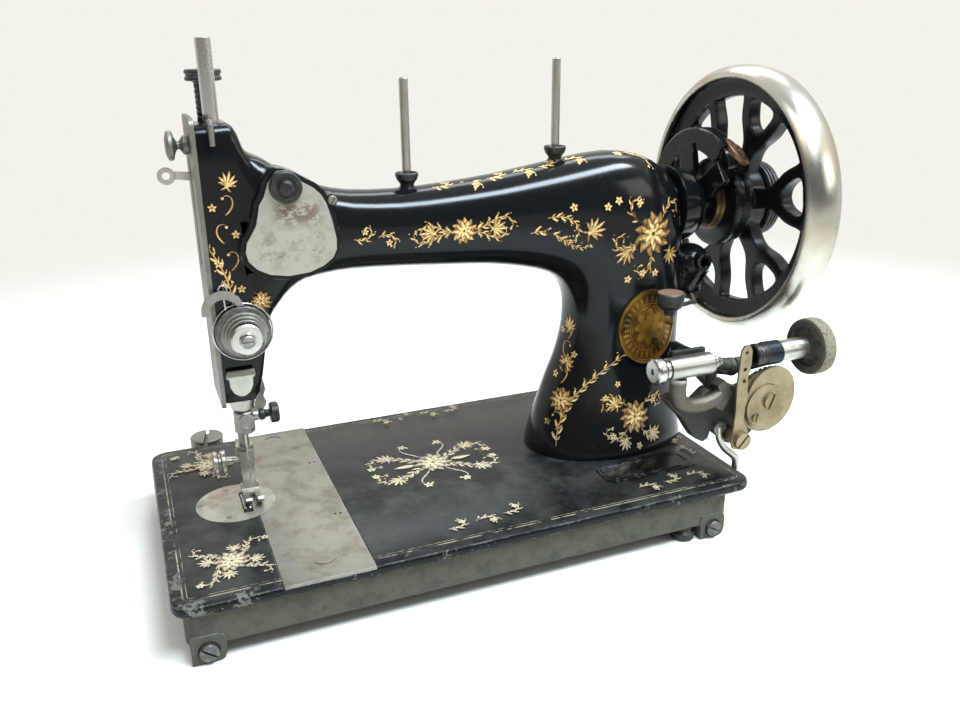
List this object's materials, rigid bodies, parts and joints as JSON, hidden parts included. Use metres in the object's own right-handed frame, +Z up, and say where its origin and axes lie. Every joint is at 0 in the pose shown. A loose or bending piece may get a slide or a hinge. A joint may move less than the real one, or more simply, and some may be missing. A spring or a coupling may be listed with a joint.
{
  "type": "sewing machine head",
  "caption": "Old black hand and treadle sewing machine head with vibrating shuttle, plated handwheel rim, side plates and a bobbin winder",
  "frame": {"origin": "on the plane the machine rests on, at the middle of its outline in plan", "axes": "+X along the bed towards the handwheel, +Y to the back, +Z up"},
  "size_m": [0.394, 0.2044, 0.2825],
  "materials": {
    "black": "glossy",
    "nickel": "satin",
    "steel": "satin",
    "dark_steel": "satin",
    "brass": "satin",
    "rubber": "matte"
  },
  "bodies": {
    "machine": {"bed": "black", "bed_screws": "steel", "foot_pads": "dark_steel", "rear_clamp_disc": "steel", "needle_plate": "nickel", "serial_plate": "black", "arm": "black", "badge": "brass", "small_screws": "steel", "face_plate": "nickel", "arm_cover_knob": "dark_steel", "spool_pins": "nickel", "spool_cups": "dark_steel", "top_thread_guide": "nickel", "tension_stud": "steel", "tension_discs": "nickel", "tension_spring": "steel", "thread_hook": "nickel", "thread_tongue": "nickel", "shaft_bushings": "brass", "belt_guard": "black", "belt_guard_screw": "steel", "needle_bar_bushing": "steel", "winder_bracket": "dark_steel", "presser_spring": "steel"},
    "face_screw": {"face_plate_screw": "steel"},
    "cover": {"arm_cover": "nickel"},
    "tension_nut": {"tension_nut": "nickel"},
    "check_spring": {"check_spring": "nickel"},
    "shaft": {"main_shaft": "steel", "crank_disc": "steel", "shuttle_eccentric": "steel", "handwheel": "black"},
    "clutch": {"clutch_knob": "dark_steel"},
    "regulator": {"regulator_lever": "dark_steel"},
    "needle_bar": {"needle_bar": "steel", "needle_bar_link": "steel", "needle_clamp": "steel", "needle": "nickel"},
    "clamp_screw": {"needle_clamp_screw": "dark_steel"},
    "take_up": {"take_up_lever": "nickel"},
    "presser": {"presser_bar": "steel", "presser_foot": "nickel"},
    "foot_screw": {"presser_foot_screw": "nickel"},
    "pressure_screw": {"pressure_screw": "dark_steel"},
    "lifter": {"presser_lifter": "steel"},
    "front_plate": {"front_slide_plate": "nickel"},
    "rear_plate": {"rear_slide_plate": "nickel"},
    "feed": {"feed_dog": "steel"},
    "shuttle_carrier": {"shuttle_arm": "steel", "shuttle": "nickel"},
    "rocker": {"rocker": "steel"},
    "winder": {"winder_frame": "dark_steel", "winder_tail_bracket": "nickel", "winder_rod": "nickel"},
    "spindle": {"winder_spindle": "steel", "winder_tyre": "rubber"},
    "tail": {"winder_tail": "nickel"},
    "cam": {"winder_cam": "nickel"},
    "guide": {"winder_guide": "nickel"}
  },
  "joints": [
    {"name": "face_screw_turn", "type": "hinge", "parent": "machine", "child": "face_screw", "pos_m": [-0.151, -0.0052, 0.233], "axis": [-1, 0, 0], "range_deg": [-720, 0]},
    {"name": "cover_swing", "type": "hinge", "parent": "machine", "child": "cover", "pos_m": [-0.116, -0.0272, 0.213], "axis": [0, 1, 0], "range_deg": [0, 95]},
    {"name": "tension_nut_turn", "type": "hinge", "parent": "machine", "child": "tension_nut", "pos_m": [-0.1426, -0.0362, 0.1396], "axis": [0, -1, 0], "range_deg": [-360, 180]},
    {"name": "check_spring_swing", "type": "hinge", "parent": "machine", "child": "check_spring", "pos_m": [-0.1426, -0.0212, 0.1396], "axis": [0, -1, 0], "range_deg": [0, 16], "stiffness_Nm_per_rad": 0.002, "springref_deg": -17.19},
    {"name": "wheel_turn", "type": "hinge", "parent": "machine", "child": "shaft", "pos_m": [-0.032, -0.0072, 0.1825], "axis": [1, 0, 0], "continuous": true},
    {"name": "clutch_turn", "type": "hinge", "parent": "shaft", "child": "clutch", "pos_m": [0.182, -0.0072, 0.1825], "axis": [1, 0, 0], "range_deg": [-60, 0]},
    {"name": "stitch_regulator", "type": "hinge", "parent": "machine", "child": "regulator", "pos_m": [0.137, -0.0162, 0.127], "axis": [0, 0, 1], "range_deg": [-3, 12]},
    {"name": "needle_bar_slide", "type": "slide", "parent": "machine", "child": "needle_bar", "axis": [0, 0, -1], "range_m": [0, 0.03]},
    {"name": "clamp_screw_turn", "type": "hinge", "parent": "needle_bar", "child": "clamp_screw", "pos_m": [-0.137, -0.0072, 0.086], "axis": [1, 0, 0], "range_deg": [-360, 90]},
    {"name": "take_up_swing", "type": "hinge", "parent": "machine", "child": "take_up", "pos_m": [-0.133, 0.0028, 0.206], "axis": [0, -1, 0], "range_deg": [0, 50]},
    {"name": "presser_bar_slide", "type": "slide", "parent": "machine", "child": "presser", "axis": [0, 0, 1], "range_m": [0, 0.006], "stiffness_N_per_m": 100, "springref_m": -0.03, "deforming": ["presser_spring"]},
    {"name": "foot_screw_turn", "type": "hinge", "parent": "presser", "child": "foot_screw", "pos_m": [-0.152, 0.005, 0.055], "axis": [-1, 0, 0], "range_deg": [-360, 60]},
    {"name": "pressure_screw_turn", "type": "hinge", "parent": "machine", "child": "pressure_screw", "pos_m": [-0.1454, 0.0093, 0.24], "axis": [0, 0, 1], "range_deg": [-720, 360]},
    {"name": "presser_lift", "type": "hinge", "parent": "machine", "child": "lifter", "pos_m": [-0.138, 0.0128, 0.12], "axis": [0, 1, 0], "range_deg": [0, 70]},
    {"name": "front_plate_slide", "type": "slide", "parent": "machine", "child": "front_plate", "axis": [0, -1, 0], "range_m": [0, 0.06]},
    {"name": "rear_plate_slide", "type": "slide", "parent": "machine", "child": "rear_plate", "axis": [0, 1, 0], "range_m": [0, 0.06]},
    {"name": "feed_slide", "type": "slide", "parent": "machine", "child": "feed", "axis": [0, 1, 0], "range_m": [-0.0025, 0.0025]},
    {"name": "shuttle_swing", "type": "hinge", "parent": "machine", "child": "shuttle_carrier", "pos_m": [0.06, -0.0072, 0.024], "axis": [0, 0, 1], "range_deg": [-8.5, 8.5]},
    {"name": "rocker_swing", "type": "hinge", "parent": "machine", "child": "rocker", "pos_m": [0.075, -0.0072, 0.1], "axis": [1, 0, 0], "range_deg": [-1.74, 1.74]},
    {"name": "winder_tilt", "type": "hinge", "parent": "machine", "child": "winder", "pos_m": [0.126, -0.0432, 0.088], "axis": [-1, 0, 0], "range_deg": [0, 11.5]},
    {"name": "spindle_turn", "type": "hinge", "parent": "winder", "child": "spindle", "pos_m": [0.158, -0.0852, 0.107], "axis": [1, 0, 0], "continuous": true},
    {"name": "tail_pull", "type": "slide", "parent": "winder", "child": "tail", "axis": [-1, 0, 0], "range_m": [0, 0.012]},
    {"name": "cam_turn", "type": "hinge", "parent": "winder", "child": "cam", "pos_m": [0.1444, -0.0852, 0.0795], "axis": [0, 1, 0], "continuous": true},
    {"name": "guide_swing", "type": "hinge", "parent": "winder", "child": "guide", "pos_m": [0.1244, -0.0932, 0.059], "axis": [0, -1, 0], "range_deg": [0, 7]}
  ],
  "couplings": [
    {"joint": "take_up_swing", "follows": "needle_bar_slide", "rad_per_m": 29.088},
    {"joint": "presser_bar_slide", "follows": "presser_lift", "m_per_rad": 0.00491},
    {"joint": "rocker_swing", "follows": "shuttle_swing", "ratio": 0.20395},
    {"joint": "cam_turn", "follows": "spindle_turn", "ratio": 0.02778}
  ]
}
